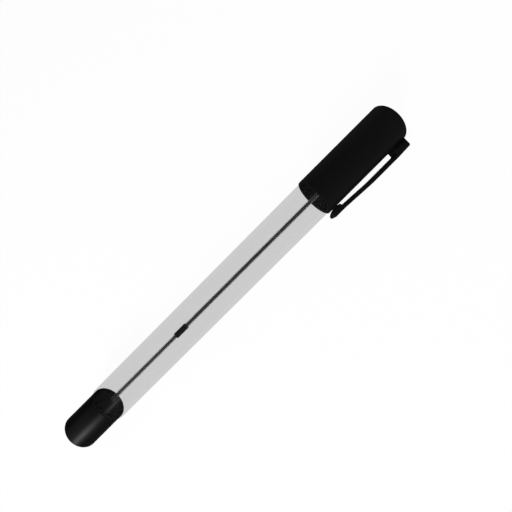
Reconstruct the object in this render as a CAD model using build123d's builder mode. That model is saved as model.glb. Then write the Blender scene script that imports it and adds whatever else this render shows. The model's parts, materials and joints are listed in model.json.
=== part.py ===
from build123d import *
from math import asin, atan2, cos, hypot, sin, sqrt
import os

# Stick ballpoint pen with its cap on, in millimetres.
# The pen lies along +X with the cap at the +X end, as it lies on a desk with the clip touching the desk.
# The origin is the centre of the tail cap's flat end, on the pen's axis.

# Outside of the pen
tail_length = 12.6
barrel_length = 93.5
cap_length = 33.9
tail_radius = 5.71
cap_radius = 6.905
barrel_rear_step = 0.445  # the barrel stands proud of the tail cap
barrel_front_step = 0.375  # the cap stands proud of the barrel

# Fits
press_clearance = 0.02  # pieces pushed together for good
cap_clearance = 0.08  # cap's bore round the barrel's front spigot
ball_clearance = 0.02
ink_clearance = 0.02
overrun = 1.0  # how far a cut runs past the face that it opens

# Tail cap
tail_wall = 0.9
tail_end_wall = 1.6
tail_air_gap = 1.9  # from the rear spigot's end to the tail cap's floor
tail_edge_bevel = 0.1
tail_mouth_bevel = 0.12
tail_floor_bevel = 0.6

# Barrel
barrel_wall = 0.97  # round the straight bore, at the narrower of the barrel's ends
front_spigot_length = 9.0
rear_spigot_wall = 0.7
rear_step_thickness = 1.2  # from the tail cap's mouth to the barrel's wide bore
barrel_edge_bevel = 0.2
spigot_lead = 0.3
snap_bead_height = 0.05
snap_bead_length = 1.6
snap_bead_setback = 5.2  # from the cap's seat to the middle of the bead

# Cap
cap_wall = 0.85
cap_top_wall = 1.6
cap_edge_bevel = 0.06
cap_mouth_bevel = 0.1
cap_mouth_lead = 0.25
snap_groove_depth = 0.06
vent_radius = 1.2
rib_count = 6
rib_width = 0.8
rib_clearance = 0.3  # from the ribs to the nose cone
rib_start_share = 0.55  # of the nose's longer cone
half_pitch_share = 0.5  # turns the ribs so that the clip's foot lies between two of them

# Pocket clip
clip_width = 3.9
clip_thickness = 1.29
clip_gap = 1.68  # from the cap's side to the arm
clip_top_setback = 0.55  # from the cap's top to the clip's
clip_root_length = 5.25
clip_root_drop = 0.22  # how far the root's outer face falls towards the top
clip_root_round = 0.6
clip_slot_round = 0.4
clip_bend_round = 40.0
clip_straight_share = 0.513  # of the arm, from the root to the bend
clip_lean = 0.64  # how far the arm's outer face leans in at the ball end
clip_tip_thickness = 1.3  # of the arm where the ball end starts
clip_tip_overhang = 0.6  # past the cap's mouth
clip_ball_length = 5.1
clip_ball_gap = 0.05  # from the cap's side to the ball end's belly
clip_belly_setback = 4.05  # from the tip to the belly, where the ball end comes closest to the cap
clip_heel_run = 0.3  # how far the ball end's steep upper side runs along the pen
clip_chin_rise = 1.5  # how far the ball end's round underside rises from the belly to the tip
clip_nose_run = 1.2  # how far the ball end's outer face curves in towards the tip
clip_nose_round = 0.5
clip_heel_round = 0.25
clip_edge_bevel = 0.15
clip_tip_round = 1.7
clip_seat_clearance = 0.03
clip_foot_length = 2.2
clip_foot_width = 2.3
clip_foot_setback = 1.2  # from the clip's top to the foot
clip_foot_reach = 0.4  # how far the foot stands out of the wall inside the cap
clip_foot_clearance = 0.15

# Nose cone
nose_stem_length = 6.0
nose_flange_thickness = 1.2
nose_flange_step = 0.6
nose_tip_wall = 0.6
nose_front_length = 3.0  # of the steeper cone at the nose's front
nose_front_step = 1.2
nose_land = 3.0  # length of the bore that holds the point
nose_stem_wall = 1.0
nose_sleeve_wall = 0.9
nose_core_depth = 9.0
nose_edge_bevel = 0.2

# Refill's front end
tip_gap = 2.0  # from the ball to the cap's floor
point_radius = 1.15
point_reach = 6.6  # of the point past the nose cone
point_cone_length = 2.9
point_neck_length = 0.5
point_neck_radius = 0.68
lip_wall = 0.05
lip_hold = 0.2  # the lip closes this far past the ball's middle
ball_radius = 0.5
ink_bore_radius = 0.45
capillary_radius = 0.24
capillary_length = 0.5
feed_count = 5
feed_width = 0.12
feed_depth = 0.14
holder_wall = 0.45
holder_land = 2.5  # between the holder's two sockets
point_socket_depth = 4.5
tube_socket_depth = 4.0

# Refill's tubes
ink_tube_radius = 0.79
ink_tube_wall = 0.23
tail_tube_radius = 0.74
tail_tube_wall = 0.24
collar_length = 4.6
collar_wall = 0.16
collar_setback = 30.7  # from the tail cap's mouth to the collar
refill_end_gap = 1.4  # from the tail cap's mouth to the tail tube's open end
ink_end_setback = 1.2  # from the tail tube's open end to the ink

# Radii that follow from the fits
barrel_rear_radius = tail_radius + barrel_rear_step
barrel_front_radius = cap_radius - barrel_front_step
tail_bore_radius = tail_radius - tail_wall
rear_spigot_radius = tail_bore_radius - press_clearance
rear_spigot_bore_radius = rear_spigot_radius - rear_spigot_wall
cap_bore_radius = cap_radius - cap_wall
front_spigot_radius = cap_bore_radius - cap_clearance
bore_radius = min(barrel_rear_radius, front_spigot_radius) - barrel_wall
holder_radius = point_radius + holder_wall
nose_root_radius = front_spigot_radius - nose_flange_step
nose_end_radius = point_radius + press_clearance + nose_tip_wall
nose_front_radius = nose_end_radius + nose_front_step
nose_sleeve_radius = holder_radius + press_clearance + nose_sleeve_wall
socket_radius = ball_radius + ball_clearance
lip_bore_radius = sqrt(socket_radius**2 - lip_hold**2)
ink_tube_bore_radius = ink_tube_radius - ink_tube_wall
tail_tube_bore_radius = tail_tube_radius - tail_tube_wall
collar_radius = ink_tube_radius + press_clearance + collar_wall

# Places along the axis that follow from the lengths
barrel_rear_x = tail_end_wall + tail_air_gap
bore_rear_x = tail_length + rear_step_thickness
cap_seat_x = tail_length + barrel_length
spigot_end_x = cap_seat_x + front_spigot_length
flange_end_x = spigot_end_x + nose_flange_thickness
pen_end_x = cap_seat_x + cap_length
cap_floor_x = pen_end_x - cap_top_wall
ball_x = cap_floor_x - tip_gap - ball_radius
lip_x = ball_x + lip_hold
nose_end_x = lip_x - point_reach
nose_front_x = nose_end_x - nose_front_length
nose_stem_x = spigot_end_x - nose_stem_length
holder_front_x = nose_end_x - nose_land
point_rear_x = holder_front_x - point_socket_depth
tube_front_x = point_rear_x - holder_land
holder_rear_x = tube_front_x - tube_socket_depth
capillary_front_x = ball_x - socket_radius
capillary_rear_x = capillary_front_x - capillary_length
collar_rear_x = tail_length + collar_setback
collar_front_x = collar_rear_x + collar_length
tubes_meet_x = (collar_rear_x + collar_front_x) / 2
tail_tube_rear_x = tail_length + refill_end_gap
ink_rear_x = tail_tube_rear_x + ink_end_setback

# The clip lies in a plane through the axis, rolled until its outer corner is level with the cap's
# lowest line
clip_outer_radius = cap_radius + clip_gap + clip_thickness
clip_half_width = clip_width / 2
clip_corner_radius = hypot(clip_outer_radius, clip_half_width)
clip_roll = asin(cap_radius / clip_corner_radius) - atan2(clip_half_width, clip_outer_radius)
clip_plane = Plane(origin=(0, 0, 0), x_dir=(1, 0, 0), z_dir=(0, sin(clip_roll), -cos(clip_roll)))
clip_plan = Plane(origin=(0, 0, 0), x_dir=(1, 0, 0), z_dir=clip_plane.y_dir)  # the clip seen from outside

os.makedirs("parts", exist_ok=True)

# Barrel: a clear tube, tapered outside and straight inside, with a narrower spigot at each end
with BuildPart() as barrel:
    with BuildSketch():
        with BuildLine():
            Polyline(
                (barrel_rear_x, rear_spigot_bore_radius),
                (barrel_rear_x, rear_spigot_radius),
                (tail_length, rear_spigot_radius),
                (tail_length, barrel_rear_radius),
                (cap_seat_x, barrel_front_radius),
                (cap_seat_x, front_spigot_radius),
                (spigot_end_x, front_spigot_radius),
                (spigot_end_x, bore_radius),
                (bore_rear_x, bore_radius),
                (bore_rear_x, rear_spigot_bore_radius),
                close=True,
            )
        make_face()
    revolve(axis=Axis.X)
    rims = barrel.edges().filter_by(GeomType.CIRCLE).group_by(Axis.X)
    chamfer([shoulder.sort_by(SortBy.RADIUS)[-1] for shoulder in (rims[1], rims[3])], barrel_edge_bevel)
    chamfer(rims[0].sort_by(SortBy.RADIUS)[-1], spigot_lead)
    with BuildSketch():
        with BuildLine():
            bead_x = cap_seat_x + snap_bead_setback
            Polyline(
                (bead_x - snap_bead_length / 2, front_spigot_radius),
                (bead_x, front_spigot_radius + snap_bead_height),
                (bead_x + snap_bead_length / 2, front_spigot_radius),
                (bead_x, (front_spigot_radius + bore_radius) / 2),
                close=True,
            )
        make_face()
    revolve(axis=Axis.X)
barrel.part.label = "barrel"
export_step(barrel.part, "parts/barrel.step")

# Tail cap: a cup pushed over the rear spigot until its mouth meets the barrel's shoulder
with BuildPart() as tail_cap:
    with BuildSketch():
        with BuildLine():
            Polyline(
                (0, 0),
                (0, tail_radius),
                (tail_length, tail_radius),
                (tail_length, tail_bore_radius),
                (tail_end_wall, tail_bore_radius),
                (tail_end_wall, 0),
                close=True,
            )
        make_face()
    revolve(axis=Axis.X)
    rims = tail_cap.edges().filter_by(GeomType.CIRCLE).group_by(Axis.X)
    chamfer(rims[1], tail_floor_bevel)
    chamfer(rims[0], tail_edge_bevel)
    chamfer(rims[-1].sort_by(SortBy.RADIUS)[-1], tail_mouth_bevel)
tail_cap.part.label = "tail_cap"
export_step(tail_cap.part, "parts/tail_cap.step")

# Nose cone: a cored front section whose stem is pressed into the barrel's mouth
with BuildPart() as nose_cone:
    with BuildSketch():
        with BuildLine():
            Polyline(
                (nose_stem_x, nose_sleeve_radius - nose_sleeve_wall),
                (nose_stem_x, bore_radius - press_clearance),
                (spigot_end_x, bore_radius - press_clearance),
                (spigot_end_x, front_spigot_radius),
                (flange_end_x, front_spigot_radius),
                (flange_end_x, nose_root_radius),
                (nose_front_x, nose_front_radius),
                (nose_end_x, nose_end_radius),
                (nose_end_x, point_radius + press_clearance),
                (holder_front_x, point_radius + press_clearance),
                (holder_front_x, nose_sleeve_radius - nose_sleeve_wall),
                close=True,
            )
        make_face()
    revolve(axis=Axis.X)
    with BuildSketch(Plane.YZ.offset(nose_stem_x)):
        Circle(bore_radius - press_clearance - nose_stem_wall)
        Circle(nose_sleeve_radius, mode=Mode.SUBTRACT)
    extrude(amount=nose_core_depth, mode=Mode.SUBTRACT)
    rims = nose_cone.edges().filter_by(GeomType.CIRCLE)
    chamfer(rims.group_by(Axis.X)[-1].sort_by(SortBy.RADIUS)[-1], nose_edge_bevel)
nose_cone.part.label = "nose_cone"
export_step(nose_cone.part, "parts/nose_cone.step")

# Tip holder: couples the ink tube to the metal point and seats on the step inside the nose cone
with BuildPart() as tip_holder:
    with BuildSketch():
        with BuildLine():
            Polyline(
                (holder_rear_x, ink_tube_radius + press_clearance),
                (holder_rear_x, holder_radius),
                (holder_front_x, holder_radius),
                (holder_front_x, point_radius + press_clearance),
                (point_rear_x, point_radius + press_clearance),
                (point_rear_x, ink_bore_radius),
                (tube_front_x, ink_bore_radius),
                (tube_front_x, ink_tube_radius + press_clearance),
                close=True,
            )
        make_face()
    revolve(axis=Axis.X)
tip_holder.part.label = "tip_holder"
export_step(tip_holder.part, "parts/tip_holder.step")

# Point: turned metal, with the ball's socket, its feed channels and a lip turned in to keep the ball
with BuildPart() as point:
    with BuildSketch():
        with BuildLine():
            Polyline(
                (point_rear_x, 0),
                (point_rear_x, point_radius),
                (lip_x - point_cone_length, point_radius),
                (lip_x - point_neck_length, point_neck_radius),
                (lip_x, lip_bore_radius + lip_wall),
                (lip_x, 0),
                close=True,
            )
        make_face()
    revolve(axis=Axis.X)
    with BuildSketch(Plane.YZ.offset(point_rear_x)):
        Circle(ink_bore_radius)
    extrude(amount=capillary_rear_x - point_rear_x, mode=Mode.SUBTRACT)
    with BuildSketch(Plane.YZ.offset(capillary_rear_x)):
        Circle(capillary_radius)
        with PolarLocations(capillary_radius, feed_count):
            Rectangle(2 * feed_depth, feed_width)
    extrude(amount=ball_x - capillary_rear_x, mode=Mode.SUBTRACT)
    with Locations((ball_x, 0, 0)):
        Sphere(socket_radius, mode=Mode.SUBTRACT)
point.part.label = "point"
export_step(point.part, "parts/point.step")

# Writing ball: rolls in the point's socket
with BuildPart(Plane(origin=(ball_x, 0, 0))) as writing_ball:
    Sphere(ball_radius)
writing_ball.part.label = "writing_ball"
export_step(writing_ball.part, "parts/writing_ball.step")

# Ink tube: the reservoir, from the tip holder back to the collar
with BuildPart() as ink_tube:
    with BuildSketch(Plane.YZ.offset(tubes_meet_x)):
        Circle(ink_tube_radius)
        Circle(ink_tube_bore_radius, mode=Mode.SUBTRACT)
    extrude(amount=tube_front_x - tubes_meet_x)
ink_tube.part.label = "ink_tube"
export_step(ink_tube.part, "parts/ink_tube.step")

# Tail tube: thinner, from the collar back to its open end just ahead of the tail cap
with BuildPart() as tail_tube:
    with BuildSketch(Plane.YZ.offset(tail_tube_rear_x)):
        Circle(tail_tube_radius)
        Circle(tail_tube_bore_radius, mode=Mode.SUBTRACT)
    extrude(amount=tubes_meet_x - tail_tube_rear_x)
tail_tube.part.label = "tail_tube"
export_step(tail_tube.part, "parts/tail_tube.step")

# Collar: a sleeve with a stepped bore that joins the two tubes
with BuildPart() as refill_collar:
    with BuildSketch(Plane.YZ.offset(collar_rear_x)):
        Circle(collar_radius)
        Circle(tail_tube_radius + press_clearance, mode=Mode.SUBTRACT)
    extrude(amount=collar_length)
    with BuildSketch(Plane.YZ.offset(tubes_meet_x)):
        Circle(ink_tube_radius + press_clearance)
    extrude(amount=collar_length, mode=Mode.SUBTRACT)
refill_collar.part.label = "refill_collar"
export_step(refill_collar.part, "parts/refill_collar.step")

# Ink: fills the tubes, the holder's channel and the point's bore
with BuildPart() as ink_column:
    with BuildSketch():
        with BuildLine():
            Polyline(
                (ink_rear_x, 0),
                (ink_rear_x, tail_tube_bore_radius - ink_clearance),
                (tubes_meet_x, tail_tube_bore_radius - ink_clearance),
                (tubes_meet_x, ink_tube_bore_radius - ink_clearance),
                (tube_front_x, ink_tube_bore_radius - ink_clearance),
                (tube_front_x, ink_bore_radius - ink_clearance),
                (capillary_rear_x, ink_bore_radius - ink_clearance),
                (capillary_rear_x, 0),
                close=True,
            )
        make_face()
    revolve(axis=Axis.X)
ink_column.part.label = "ink_column"
export_step(ink_column.part, "parts/ink_column.step")

# Cap: a closed tube with a vent in its top, ribs round the nose, a snap groove and a window for the clip
clip_top_x = pen_end_x - clip_top_setback
clip_foot_x = clip_top_x - clip_foot_setback - clip_foot_length / 2
rib_start_x = flange_end_x + (nose_front_x - flange_end_x) * rib_start_share
nose_rib_radius = nose_root_radius + (nose_front_radius - nose_root_radius) * rib_start_share
rib_inner_radius = nose_rib_radius + rib_clearance
rib_outer_radius = cap_bore_radius + cap_wall / 2
first_rib_angle = 360 / rib_count * half_pitch_share
with BuildPart() as cap_shell:
    with BuildSketch():
        with BuildLine():
            Polyline(
                (cap_seat_x, cap_bore_radius),
                (cap_seat_x, cap_radius),
                (pen_end_x, cap_radius),
                (pen_end_x, vent_radius),
                (cap_floor_x, vent_radius),
                (cap_floor_x, cap_bore_radius),
                close=True,
            )
        make_face()
    revolve(axis=Axis.X)
    rims = cap_shell.edges().filter_by(GeomType.CIRCLE).group_by(Axis.X)
    chamfer(rims[-1].sort_by(SortBy.RADIUS)[-1], cap_edge_bevel)
    chamfer(rims[0].sort_by(SortBy.RADIUS)[-1], cap_mouth_bevel)
    chamfer(rims[0].sort_by(SortBy.RADIUS)[0], cap_mouth_lead)
    with BuildSketch():
        with Locations((cap_seat_x + snap_bead_setback, cap_bore_radius)):
            Rectangle(snap_bead_length, 2 * snap_groove_depth)
    revolve(axis=Axis.X, mode=Mode.SUBTRACT)
    with BuildSketch(clip_plan.offset(cap_bore_radius - clip_foot_reach)):
        with Locations((clip_foot_x, 0)):
            Rectangle(clip_foot_length + 2 * clip_foot_clearance, clip_foot_width + 2 * clip_foot_clearance)
    extrude(amount=clip_foot_reach + cap_wall + overrun, mode=Mode.SUBTRACT)
    with BuildSketch(Plane(origin=(rib_start_x, 0, 0), x_dir=clip_plane.y_dir, z_dir=(1, 0, 0))):
        with PolarLocations((rib_inner_radius + rib_outer_radius) / 2, rib_count, first_rib_angle):
            Rectangle(rib_outer_radius - rib_inner_radius, rib_width)
    extrude(amount=cap_floor_x + cap_top_wall / 2 - rib_start_x)
cap_shell.part.label = "cap_shell"
export_step(cap_shell.part, "parts/cap_shell.step")

# Clip: root block, spring arm and ball end in one moulding, with a foot that snaps into the cap's window
clip_root_x = clip_top_x - clip_root_length
clip_tip_x = cap_seat_x - clip_tip_overhang
ball_start_x = clip_tip_x + clip_ball_length
clip_bend_x = clip_root_x - (clip_root_x - ball_start_x) * clip_straight_share
arm_inner_radius = clip_outer_radius - clip_thickness
lean_outer_radius = clip_outer_radius - clip_lean
lean_inner_radius = lean_outer_radius - clip_tip_thickness
ball_inner_radius = cap_radius + clip_ball_gap
tip_radius = ball_inner_radius + clip_chin_rise
heel_x = ball_start_x - clip_heel_run
nose_run_x = clip_tip_x + clip_nose_run
belly_x = clip_tip_x + clip_belly_setback
belly_arc_radius = (clip_belly_setback**2 + clip_chin_rise**2) / (2 * clip_chin_rise)
heel_radius = ball_inner_radius + belly_arc_radius - sqrt(belly_arc_radius**2 - (heel_x - belly_x) ** 2)
seat_radius = cap_radius + clip_seat_clearance
with BuildPart() as cap_clip:
    with BuildSketch(clip_plane) as side_view:
        with BuildLine():
            Polyline(
                (heel_x, heel_radius),
                (ball_start_x, lean_inner_radius),
                (clip_bend_x, arm_inner_radius),
                (clip_root_x, arm_inner_radius),
                (clip_root_x, 0),
                (clip_top_x, 0),
                (clip_top_x, clip_outer_radius - clip_root_drop),
                (clip_root_x, clip_outer_radius),
                (clip_bend_x, clip_outer_radius),
                (ball_start_x, lean_outer_radius),
                (nose_run_x, lean_outer_radius),
            )
            TangentArc((nose_run_x, lean_outer_radius), (clip_tip_x, tip_radius), tangent=(-1, 0))
            ThreePointArc((clip_tip_x, tip_radius), (belly_x, ball_inner_radius), (heel_x, heel_radius))
        make_face()
        outline_rounds = [
            ((clip_top_x, clip_outer_radius - clip_root_drop), clip_root_round),
            ((clip_root_x, arm_inner_radius), clip_slot_round),
            ((clip_root_x, clip_outer_radius), clip_bend_round),
            ((clip_bend_x, clip_outer_radius), clip_bend_round),
            ((ball_start_x, lean_outer_radius), clip_bend_round),
            ((clip_bend_x, arm_inner_radius), clip_bend_round),
            ((clip_tip_x, tip_radius), clip_nose_round),
            ((heel_x, heel_radius), clip_heel_round),
            ((ball_start_x, lean_inner_radius), clip_slot_round),
        ]
        for corner, corner_round in outline_rounds:
            fillet(side_view.vertices().sort_by_distance(corner)[0], corner_round)
    extrude(amount=clip_half_width, both=True)
    chamfer(cap_clip.faces().filter_by(clip_plane).edges(), clip_edge_bevel)
    with BuildSketch(clip_plan) as top_view:
        with Locations(((clip_tip_x + clip_top_x) / 2, 0)):
            Rectangle(clip_top_x - clip_tip_x, clip_width)
        fillet(top_view.vertices().group_by(Axis.X)[0], clip_tip_round)
    extrude(amount=clip_outer_radius + overrun, mode=Mode.INTERSECT)
    with BuildSketch(Plane.YZ):
        Circle(seat_radius)
    extrude(amount=pen_end_x + overrun, mode=Mode.SUBTRACT)
    with BuildSketch(clip_plan.offset(cap_bore_radius - clip_foot_reach)):
        with Locations((clip_foot_x, 0)):
            Rectangle(clip_foot_length, clip_foot_width)
    extrude(amount=cap_wall + clip_gap)
cap_clip.part.label = "cap_clip"
export_step(cap_clip.part, "parts/cap_clip.step")
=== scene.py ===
"""Looks of the stick ballpoint pen: smoke-clear barrel, black cap and clip, black tail cap, dark refill."""

import json
from math import cos, sin

import bmesh
import bpy
from mathutils import Matrix, Vector


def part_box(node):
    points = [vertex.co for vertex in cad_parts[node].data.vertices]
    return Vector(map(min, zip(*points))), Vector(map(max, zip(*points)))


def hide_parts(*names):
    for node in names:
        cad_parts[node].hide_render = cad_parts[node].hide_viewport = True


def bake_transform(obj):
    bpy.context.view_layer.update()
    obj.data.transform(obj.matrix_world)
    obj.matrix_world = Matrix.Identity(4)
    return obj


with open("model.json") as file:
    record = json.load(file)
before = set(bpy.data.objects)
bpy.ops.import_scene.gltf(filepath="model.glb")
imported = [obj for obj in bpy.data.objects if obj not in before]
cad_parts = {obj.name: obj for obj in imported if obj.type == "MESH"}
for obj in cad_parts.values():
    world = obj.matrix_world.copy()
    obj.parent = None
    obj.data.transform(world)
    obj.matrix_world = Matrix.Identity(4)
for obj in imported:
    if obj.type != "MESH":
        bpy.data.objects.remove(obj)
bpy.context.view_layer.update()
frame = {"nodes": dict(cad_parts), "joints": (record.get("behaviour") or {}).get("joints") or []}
nodes = frame["nodes"]
scene = bpy.context.scene
MM = 0.001

# Directions of the clip's plane: CLIP_SIDE across it, towards the camera, and CLIP_OUT out of the cap
ALONG = Vector((1, 0, 0))
clip_flex = next(joint for joint in frame["joints"] if joint["name"] == "clip_flex")
CLIP_SIDE = Vector(clip_flex["axis"])
CLIP_OUT = ALONG.cross(CLIP_SIDE)

# Corners of the frame's boxes that the looks are set by
clip_low, clip_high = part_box("cap_clip")
cap_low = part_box("cap_shell")[0]
tail_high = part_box("tail_cap")[1]


def add_object(name, data):
    """A new object in the scene."""
    made = bpy.data.objects.new(name, data)
    scene.collection.objects.link(made)
    return made


# Node helpers
NOISE_SPAN = (0.3, 0.7)  # most values of a noise texture lie in it
SHINE = "Specular IOR Level"


def new_material(name):
    """A fresh material, its node tree and its Principled shader."""
    material = bpy.data.materials.new(name)
    material.use_nodes = True
    return material, material.node_tree, material.node_tree.nodes["Principled BSDF"]


def coordinates(tree, stretch=(1, 1, 1)):
    """Places on the object in metres, stretched to make streaks."""
    source = tree.nodes.new("ShaderNodeTexCoord")
    mapping = tree.nodes.new("ShaderNodeMapping")
    mapping.inputs["Scale"].default_value = stretch
    tree.links.new(source.outputs["Object"], mapping.inputs["Vector"])
    return mapping.outputs["Vector"]


def noise(tree, per_metre, detail=2.0, stretch=(1, 1, 1)):
    """Noise with this many blobs to the metre."""
    node = tree.nodes.new("ShaderNodeTexNoise")
    node.inputs["Scale"].default_value = per_metre
    node.inputs["Detail"].default_value = detail
    tree.links.new(coordinates(tree, stretch), node.inputs["Vector"])
    return node.outputs["Fac"]


def spread(tree, value, bounds, span=NOISE_SPAN):
    """Maps a value's span onto two numbers, which may themselves be worked out by nodes."""
    node = tree.nodes.new("ShaderNodeMapRange")
    for socket, end in zip(("From Min", "From Max"), span):
        node.inputs[socket].default_value = end
    for socket, bound in zip(("To Min", "To Max"), bounds):
        if isinstance(bound, bpy.types.NodeSocket):
            tree.links.new(bound, node.inputs[socket])
        else:
            node.inputs[socket].default_value = bound
    tree.links.new(value, node.inputs["Value"])
    return node.outputs["Result"]


def tint(tree, value, dark, light, span=NOISE_SPAN):
    """Maps a value's span onto two colours."""
    node = tree.nodes.new("ShaderNodeValToRGB")
    for element, place, colour in zip(node.color_ramp.elements, span, (dark, light)):
        element.position = place
        element.color = (*colour, 1)
    tree.links.new(value, node.inputs["Fac"])
    return node.outputs["Color"]


def bump(tree, shader, value, height, strength):
    """Raises the surface by a texture, whose full height is given in millimetres."""
    node = tree.nodes.new("ShaderNodeBump")
    node.inputs["Distance"].default_value = height * MM
    node.inputs["Strength"].default_value = strength
    tree.links.new(value, node.inputs["Height"])
    tree.links.new(node.outputs["Normal"], shader.inputs["Normal"])


def turned_away(tree):
    """0 where a surface faces the viewer, rising to 1 where it is seen edge-on."""
    return tree.nodes.new("ShaderNodeLayerWeight").outputs["Facing"]


def along_pen(tree):
    """Distance of a point from the tail end, in metres."""
    parts = tree.nodes.new("ShaderNodeSeparateXYZ")
    tree.links.new(coordinates(tree), parts.inputs["Vector"])
    return parts.outputs["X"]


def off_axis(tree):
    """Distance of a point from the pen's axis, in metres."""
    length = tree.nodes.new("ShaderNodeVectorMath")
    length.operation = "LENGTH"
    tree.links.new(coordinates(tree, (0, 1, 1)), length.inputs[0])
    return length.outputs["Value"]


def metres(ends):
    """The two ends of a stretch that is given in millimetres."""
    return tuple(end * MM for end in ends)


# Barrel: places are in millimetres, along the pen from the tail end or out from its axis
SMOKE_COVER = (0.216, 0.222)
BORE_COVER = 0.01
SKIN_RADII = (5.5, 5.7)  # between the barrel's bore and its outside
HAZE = (0.022, 0.024)
REAR_EDGE_HAZE = 0.019  # the barrel's rear edge is clearer
HAZE_RISE = (13.4, 15.0)
INNER_HAZE = 0.003
HAZE_RADII = (6.02, 6.12)  # between the front spigot, which the cap protects, and the barrel's outside
SMOKE_ROUGHNESS = (0.22, 0.26)
# Painted highlight: the barrel's shine is kept to a band from 13 to 34 mm along the pen, so the key light's
# streak shows there and nowhere else
REAR_EDGE_STREAK_SHINE = 0.001
STREAK_SHINE = 0.042
STREAK_RISE = (13.0, 18.0)  # over this stretch the shine, and with it the painted highlight, rises from the barrel's rear edge
STREAK_FADE = (20.0, 34.0)
STREAK_FACING = (0.22, 0.5)


def smoke_clear():
    """Clear moulded plastic that hardly bends light: smoke skin over a clear bore, faint flow lines, and
    shine only in a band that places a painted highlight.
    """
    material, tree, shader = new_material("smoke_clear_plastic")
    flow = noise(tree, per_metre=420, detail=3.0, stretch=(0.04, 1, 1))
    rub = noise(tree, per_metre=2600, detail=4.0, stretch=(0.12, 1, 1))
    place, radius = along_pen(tree), off_axis(tree)
    cover = spread(tree, radius, (BORE_COVER, spread(tree, flow, SMOKE_COVER)), metres(SKIN_RADII))
    tree.links.new(cover, shader.inputs["Alpha"])
    haze = spread(tree, place, (REAR_EDGE_HAZE, spread(tree, flow, HAZE)), metres(HAZE_RISE))
    haze = spread(tree, radius, (INNER_HAZE, haze), metres(HAZE_RADII))
    tree.links.new(haze, shader.inputs["Base Color"])
    tree.links.new(spread(tree, rub, SMOKE_ROUGHNESS), shader.inputs["Roughness"])
    # Painted highlight: shine only over a band along the barrel, and less where the surface is seen edge-on
    streak_shine = spread(tree, place, (REAR_EDGE_STREAK_SHINE, STREAK_SHINE), metres(STREAK_RISE))
    streak_shine = spread(tree, place, (streak_shine, 0.0), metres(STREAK_FADE))
    streak_shine = spread(tree, turned_away(tree), (streak_shine, 0.0), STREAK_FACING)
    tree.links.new(streak_shine, shader.inputs[SHINE])
    bump(tree, shader, flow, height=0.01, strength=0.2)
    return material


# Refill's tube
FILM_DARK, FILM_LIGHT = (0.20, 0.20, 0.205), (0.25, 0.25, 0.255)
FILM_ROUGHNESS = (0.2, 0.3)
CLEAR_COVER, CLEAR_FACING = (0.06, 0.60), (0.25, 0.95)
MILKY_COVER, MILKY_FACING = (0.06, 0.30), (0.06, 0.30)
MILKY_START = (104.2, 104.6)  # in millimetres; in front of this, the tube is milkier
TUBE_SHINE = 0.12


def tube_clear():
    """Milky clear tube of the refill, with a film of ink drawn out along its bore."""
    material, tree, shader = new_material("refill_tube_plastic")
    film = noise(tree, per_metre=900, detail=4.0, stretch=(0.1, 1, 1))
    tree.links.new(tint(tree, film, FILM_DARK, FILM_LIGHT), shader.inputs["Base Color"])
    facing = turned_away(tree)
    clear = spread(tree, facing, CLEAR_COVER, CLEAR_FACING)
    milky = spread(tree, facing, MILKY_COVER, MILKY_FACING)
    cover = spread(tree, along_pen(tree), (clear, milky), metres(MILKY_START))
    tree.links.new(cover, shader.inputs["Alpha"])
    tree.links.new(spread(tree, film, FILM_ROUGHNESS), shader.inputs["Roughness"])
    shader.inputs[SHINE].default_value = TUBE_SHINE
    return material


# Black plastics: the shades are the two ends of the flow marks' grey
SATIN_SHADES, SATIN_ROUGHNESS, SATIN_GRAIN = (0.0028, 0.0036), (0.35, 0.45), 0.012
SATIN_SHINE, SATIN_FACING = (0.015, 0.001), (0.3, 0.7)
GLOSS_SHADES, GLOSS_ROUGHNESS, GLOSS_GRAIN = (0.0032, 0.0038), (0.40, 0.44), 0.004
# Painted highlight: the tail cap's shine falls from its end towards its mouth, so the key light's streak
# fades along it
TAIL_STREAK_SHINE = (0.036, 0.009)
TAIL_STREAK_LENGTH = 4.5  # of the tail cap from its end, where the shine and its painted highlight are full
EDGE_SHINE, GLOSS_FACING = 0.001, (0.27, 0.42)


def black_plastic(name, shades, roughness, grain_height):
    """Black moulded plastic with fine grain and slight flow marks. Gives its tree and shader too."""
    material, tree, shader = new_material(name)
    flow = noise(tree, per_metre=300, detail=3.0, stretch=(0.15, 1, 1))
    dark, light = ((shade, shade, shade) for shade in shades)
    tree.links.new(tint(tree, flow, dark, light), shader.inputs["Base Color"])
    tree.links.new(spread(tree, flow, roughness), shader.inputs["Roughness"])
    bump(tree, shader, noise(tree, per_metre=6000, detail=3.0), grain_height, strength=0.4)
    return material, tree, shader


def black_satin():
    """Matt black of the cap, clip, nose and collar, with hardly any sheen."""
    material, tree, shader = black_plastic("black_satin_plastic", SATIN_SHADES, SATIN_ROUGHNESS, SATIN_GRAIN)
    tree.links.new(spread(tree, turned_away(tree), SATIN_SHINE, SATIN_FACING), shader.inputs[SHINE])
    return material


def black_gloss():
    """Black of the tail cap, its shine rising towards its end: a painted fade of the key light's highlight.
    """
    material, tree, shader = black_plastic("black_gloss_plastic", GLOSS_SHADES, GLOSS_ROUGHNESS, GLOSS_GRAIN)
    # Painted highlight: the shine falls from the tail end to the mouth, so the key light's streak fades
    # along the tail cap
    tail_streak_shine = spread(tree, along_pen(tree), TAIL_STREAK_SHINE, (TAIL_STREAK_LENGTH * MM, tail_high[0]))
    shine = spread(tree, turned_away(tree), (tail_streak_shine, EDGE_SHINE), GLOSS_FACING)
    tree.links.new(shine, shader.inputs[SHINE])
    return material


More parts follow.
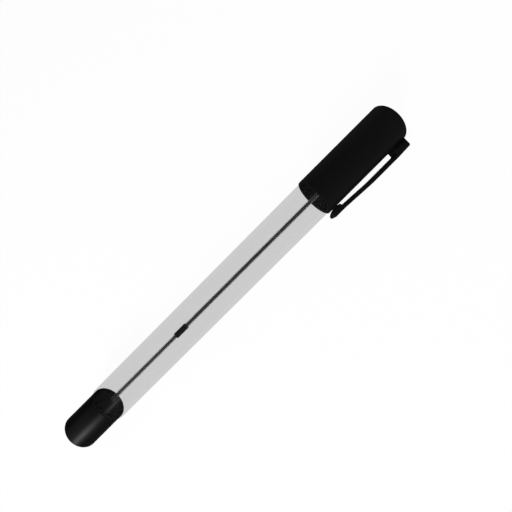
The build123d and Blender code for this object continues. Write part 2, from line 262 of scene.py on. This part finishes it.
# Ink, tip holder and metals
INK_DARK, INK_LIGHT = (0.010, 0.010, 0.011), (0.018, 0.018, 0.019)
INK_ROUGHNESS, INK_SHINE = (0.25, 0.45), 0.05
WAX_DARK, WAX_LIGHT = (0.72, 0.72, 0.70), (0.80, 0.80, 0.78)
WAX_ROUGHNESS = (0.4, 0.55)
WAX_DEPTH_SHARE, WAX_DEPTH = 0.2, (0.0006, 0.0006, 0.0005)  # how far light gets into it, in metres
SILVER_DARK, SILVER_LIGHT = (0.52, 0.50, 0.46), (0.66, 0.64, 0.60)
SILVER_ROUGHNESS = (0.16, 0.3)
TOOL_RINGS = {"Scale": 5200.0, "Distortion": 1.5, "Detail": 3.0}
SMEAR_DARK, CARBIDE_LIGHT = (0.03, 0.03, 0.035), (0.30, 0.30, 0.31)
SMEAR_SPAN, CARBIDE_ROUGHNESS = (0.42, 0.55), (0.35, 0.12)


def ink_black():
    """Thick black ink, streaky where it wets the tube."""
    material, tree, shader = new_material("black_ink")
    streak = noise(tree, per_metre=1500, detail=4.0, stretch=(0.06, 1, 1))
    tree.links.new(tint(tree, streak, INK_DARK, INK_LIGHT), shader.inputs["Base Color"])
    tree.links.new(spread(tree, streak, INK_ROUGHNESS), shader.inputs["Roughness"])
    shader.inputs[SHINE].default_value = INK_SHINE
    return material


def holder_white():
    """White waxy moulding of the tip holder."""
    material, tree, shader = new_material("white_waxy_plastic")
    flow = noise(tree, per_metre=700, detail=3.0)
    tree.links.new(tint(tree, flow, WAX_DARK, WAX_LIGHT), shader.inputs["Base Color"])
    tree.links.new(spread(tree, flow, WAX_ROUGHNESS), shader.inputs["Roughness"])
    shader.inputs["Subsurface Weight"].default_value = WAX_DEPTH_SHARE
    shader.inputs["Subsurface Radius"].default_value = WAX_DEPTH
    bump(tree, shader, noise(tree, per_metre=5000), height=0.01, strength=0.3)
    return material


def nickel_silver():
    """Turned metal of the point: rings left by the tool, and slight tarnish."""
    material, tree, shader = new_material("turned_nickel_silver")
    rings = tree.nodes.new("ShaderNodeTexWave")
    rings.wave_type = "BANDS"
    rings.bands_direction = "X"
    for socket, number in TOOL_RINGS.items():
        rings.inputs[socket].default_value = number
    tree.links.new(coordinates(tree), rings.inputs["Vector"])
    tarnish = noise(tree, per_metre=1200, detail=4.0)
    tree.links.new(tint(tree, tarnish, SILVER_DARK, SILVER_LIGHT), shader.inputs["Base Color"])
    tree.links.new(spread(tree, tarnish, SILVER_ROUGHNESS), shader.inputs["Roughness"])
    shader.inputs["Metallic"].default_value = 1.0
    bump(tree, shader, rings.outputs["Fac"], height=0.008, strength=0.5)
    return material


def carbide():
    """Ground hard-metal ball, with a smear of ink."""
    material, tree, shader = new_material("ground_carbide")
    smear = noise(tree, per_metre=2500, detail=4.0)
    tree.links.new(tint(tree, smear, SMEAR_DARK, CARBIDE_LIGHT, SMEAR_SPAN), shader.inputs["Base Color"])
    tree.links.new(spread(tree, smear, CARBIDE_ROUGHNESS), shader.inputs["Roughness"])
    shader.inputs["Metallic"].default_value = 1.0
    return material


# Finishes of the frame's nodes
SHARP_EDGE = 0.5  # in radians
tube = tube_clear()
satin = black_satin()
finishes = {
    "barrel": smoke_clear(),
    "tail_cap": black_gloss(),
    "nose_cone": satin,
    "tip_holder": holder_white(),
    "point": nickel_silver(),
    "writing_ball": carbide(),
    "ink_tube": tube,
    "tail_tube": tube,
    "refill_collar": satin,
    "ink_column": ink_black(),
    "cap_shell": satin,
    "cap_clip": satin,
}
for name, finish in finishes.items():
    node = nodes[name]
    for slot in node.material_slots:
        slot.material = finish
    node.data.shade_smooth()
    node.data.set_sharp_from_angle(angle=SHARP_EDGE)

# Clip: the solid's own faces, cut across at short steps from the arm's root towards its tip
CLIP_ROOT_LENGTH = 5.25  # in millimetres, as the other sizes here
CLIP_CUT_STEP = 1.0
CLIP_WELD = 0.002
clip_root_x = clip_high[0] - CLIP_ROOT_LENGTH * MM
mesh = bmesh.new()
mesh.from_mesh(nodes["cap_clip"].data)
bmesh.ops.remove_doubles(mesh, verts=mesh.verts[:], dist=CLIP_WELD * MM)
cut_count = int((clip_root_x - clip_low[0]) / (CLIP_CUT_STEP * MM))
for index in range(cut_count):
    place = ALONG * (clip_root_x - index * CLIP_CUT_STEP * MM)
    everything = mesh.verts[:] + mesh.edges[:] + mesh.faces[:]
    bmesh.ops.bisect_plane(mesh, geom=everything, dist=CLIP_WELD * MM, plane_co=place, plane_no=ALONG)
bmesh.ops.dissolve_degenerate(mesh, dist=CLIP_WELD * MM, edges=mesh.edges[:])
clip_mesh = bpy.data.meshes.new("spring_clip")
mesh.to_mesh(clip_mesh)
mesh.free()
clip_mesh.materials.clear()
clip_mesh.materials.append(satin)
clip_mesh.shade_smooth()
clip_mesh.set_sharp_from_angle(angle=SHARP_EDGE)
clip = add_object("spring_clip", clip_mesh)
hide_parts("cap_clip")
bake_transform(clip)

# Floor: touches the cap's mouth rim and the barrel's rear shoulder, so that the pen lies on it
FLOOR_REACH = 2.5  # in metres
BARREL_REAR_RADIUS = 6.155  # in millimetres
floor_slope = (BARREL_REAR_RADIUS * MM + cap_low[2]) / (cap_low[0] - tail_high[0])


def floor_point(along, across):
    """A point of the floor, from its place along and across the pen in metres."""
    return Vector((along, across, -BARREL_REAR_RADIUS * MM + floor_slope * (along - tail_high[0])))


corner_signs = [(-1, -1), (1, -1), (1, 1), (-1, 1)]
corners = [floor_point(along * FLOOR_REACH, across * FLOOR_REACH) for along, across in corner_signs]
floor_mesh = bpy.data.meshes.new("floor")
floor_mesh.from_pydata(corners, [], [range(len(corners))])
floor = add_object("floor", floor_mesh)


def seen_directly(tree):
    """1 for rays from the camera, from reflections and through clear plastic, else 0."""
    path = tree.nodes.new("ShaderNodeLightPath")
    total = path.outputs["Is Camera Ray"]
    for ray in ("Is Glossy Ray", "Is Transmission Ray"):
        node = tree.nodes.new("ShaderNodeMath")
        node.operation = "MAXIMUM"
        tree.links.new(total, node.inputs[0])
        tree.links.new(path.outputs[ray], node.inputs[1])
        total = node.outputs[0]
    return total


def mix_shaders(tree, share, plain, white, output):
    """Shows a plain shader, and a white one by the share that the nodes work out."""
    mix = tree.nodes.new("ShaderNodeMixShader")
    tree.links.new(share, mix.inputs["Fac"])
    tree.links.new(plain, mix.inputs[1])
    tree.links.new(white, mix.inputs[2])
    tree.links.new(mix.outputs["Shader"], tree.nodes[output].inputs["Surface"])


PAPER = (0.95, 0.95, 0.95, 1)
FLOOR_GLOW = 0.96  # the rest is lit paper, which keeps the pen's shadow
floor_material = bpy.data.materials.new("white_floor")
floor_material.use_nodes = True
floor_material.cycles.emission_sampling = "NONE"
tree = floor_material.node_tree
tree.nodes.remove(tree.nodes["Principled BSDF"])
paper = tree.nodes.new("ShaderNodeBsdfDiffuse")
paper.inputs["Color"].default_value = PAPER
glow = tree.nodes.new("ShaderNodeEmission")
glow.inputs["Strength"].default_value = 1.0
share = tree.nodes.new("ShaderNodeMath")
share.operation = "MULTIPLY"
share.inputs[1].default_value = FLOOR_GLOW
tree.links.new(seen_directly(tree), share.inputs[0])
mix_shaders(tree, share.outputs[0], paper.outputs["BSDF"], glow.outputs["Emission"], "Material Output")
floor_mesh.materials.append(floor_material)

# World: soft fill, and white where it is seen
WORLD_FILL = 0.40
WHITE = (1, 1, 1, 1)
world = bpy.data.worlds.new("studio")
scene.world = world
world.use_nodes = True
tree = world.node_tree
fill = tree.nodes["Background"]
fill.inputs["Color"].default_value = WHITE
fill.inputs["Strength"].default_value = WORLD_FILL
white = tree.nodes.new("ShaderNodeBackground")
white.inputs["Color"].default_value = WHITE
white.inputs["Strength"].default_value = 1.0
plain, seen = fill.outputs["Background"], white.outputs["Background"]
mix_shaders(tree, seen_directly(tree), plain, seen, "World Output")

# Camera: a wide lens close above the pen, square to the clip's plane, rolled so the pen lies at 45 degrees
VIEW_X, VIEW_DISTANCE = 79.73, 91.97  # in millimetres
LENS, SENSOR_WIDTH = 20.0, 36.0  # in millimetres
NEAREST, FARTHEST = 0.005, 20.0  # in metres
lens = bpy.data.cameras.new("camera")
lens.lens = LENS
lens.sensor_width = SENSOR_WIDTH
lens.clip_start = NEAREST
lens.clip_end = FARTHEST
camera = add_object("camera", lens)
right = (ALONG + CLIP_OUT).normalized()
up = (ALONG - CLIP_OUT).normalized()
turn = Matrix((right, up, CLIP_SIDE)).transposed().to_4x4()
camera.matrix_world = Matrix.Translation(ALONG * VIEW_X * MM + CLIP_SIDE * VIEW_DISTANCE * MM) @ turn
scene.camera = camera

# Key light: a soft round panel off the tail end, whose reflection makes a streak along the tail cap
KEY_DISTANCE, KEY_SIZE = 0.9, 0.22  # in metres
KEY_POWER = 13.0  # in watts
KEY_TILT, KEY_LEAN = 0.74, 0.47  # in radians, towards the tail and towards the clip
panel = bpy.data.lights.new("key", "AREA")
panel.shape = "DISK"
panel.size = KEY_SIZE
panel.energy = KEY_POWER
key = add_object("key", panel)
over = CLIP_SIDE * cos(KEY_LEAN) + CLIP_OUT * sin(KEY_LEAN)
toward = over * cos(KEY_TILT) - ALONG * sin(KEY_TILT)
aim = toward.to_track_quat("Z", "Y").to_matrix().to_4x4()
key.matrix_world = Matrix.Translation(toward * KEY_DISTANCE) @ aim

scene.view_settings.view_transform = "Standard"
